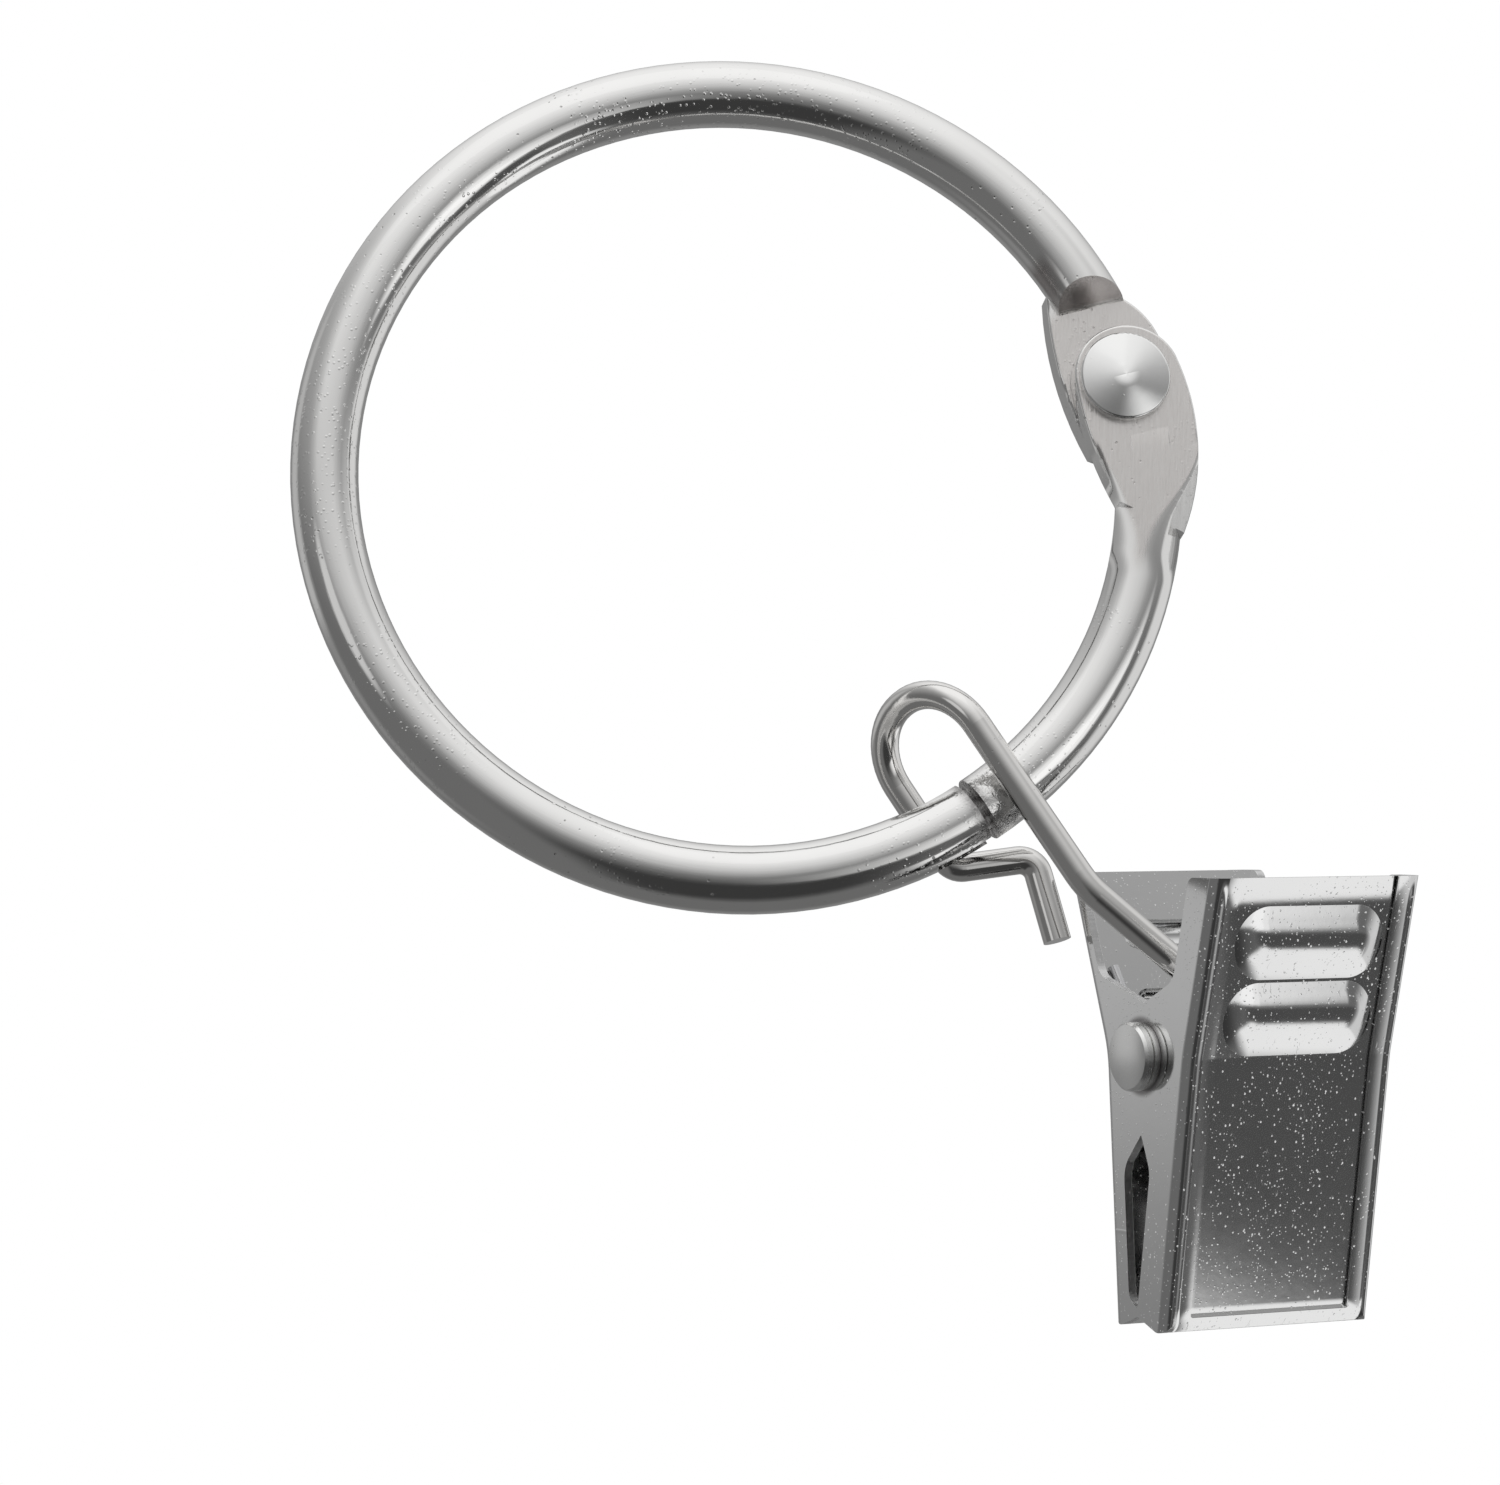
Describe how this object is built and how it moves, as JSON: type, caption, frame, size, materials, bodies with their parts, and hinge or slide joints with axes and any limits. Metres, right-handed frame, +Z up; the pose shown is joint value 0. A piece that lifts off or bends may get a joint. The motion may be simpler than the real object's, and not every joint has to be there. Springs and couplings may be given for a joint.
{
  "type": "curtain ring with clip",
  "caption": "Hinged round-bar curtain ring that opens at a latch, with a wire link and a sprung pressed-metal clip that hangs from it and grips the curtain.",
  "frame": {"origin": "centre of the closed ring, on the curtain rod's axis", "axes": "+Y along the rod, away from the side that shows the rivet head; +Z up, with the clip hanging below; +X towards the hinge"},
  "size_m": [0.0556, 0.0183, 0.0651],
  "materials": {
    "ring_metal": "polished plated steel with fine pits",
    "rivet_metal": "polished plated steel",
    "wire_metal": "drawn plated wire",
    "clip_metal": "pressed plated sheet with sheared edges",
    "spring_metal": "spring wire"
  },
  "bodies": {
    "ring": {"ring_arc": "ring_metal", "hinge_rivet": "rivet_metal"},
    "gate": {"ring_gate": "ring_metal"},
    "loop": {"wire_loop": "wire_metal"},
    "back_jaw": {"back_jaw": "clip_metal", "clip_pin": "rivet_metal", "pin_washer": "rivet_metal", "clip_spring": "spring_metal"},
    "front_jaw": {"front_jaw": "clip_metal"}
  },
  "joints": [
    {"name": "gate_hinge", "type": "hinge", "parent": "ring", "child": "gate", "pos_m": [0.01961, 0, 0.00562], "axis": [0, -1, 0], "range_deg": [0, 90]},
    {"name": "loop_swing", "type": "hinge", "parent": "ring", "child": "loop", "pos_m": [0.01187, 0, -0.01696], "axis": [0.8192, 0, 0.5736], "range_deg": [-45, 45]},
    {"name": "clip_swivel", "type": "hinge", "parent": "loop", "child": "back_jaw", "pos_m": [0.02544, 0.001, -0.02862], "axis": [0.9118, 0.3902, 0.1277], "range_deg": [-8, 8]},
    {"name": "jaw_open", "type": "hinge", "parent": "back_jaw", "child": "front_jaw", "pos_m": [0.02544, 0.001, -0.02862], "axis": [-0.9118, -0.3902, -0.1277], "range_deg": [0, 20], "stiffness_Nm_per_rad": 0.05, "springref_deg": -34.38, "deforming": ["clip_spring"]}
  ]
}
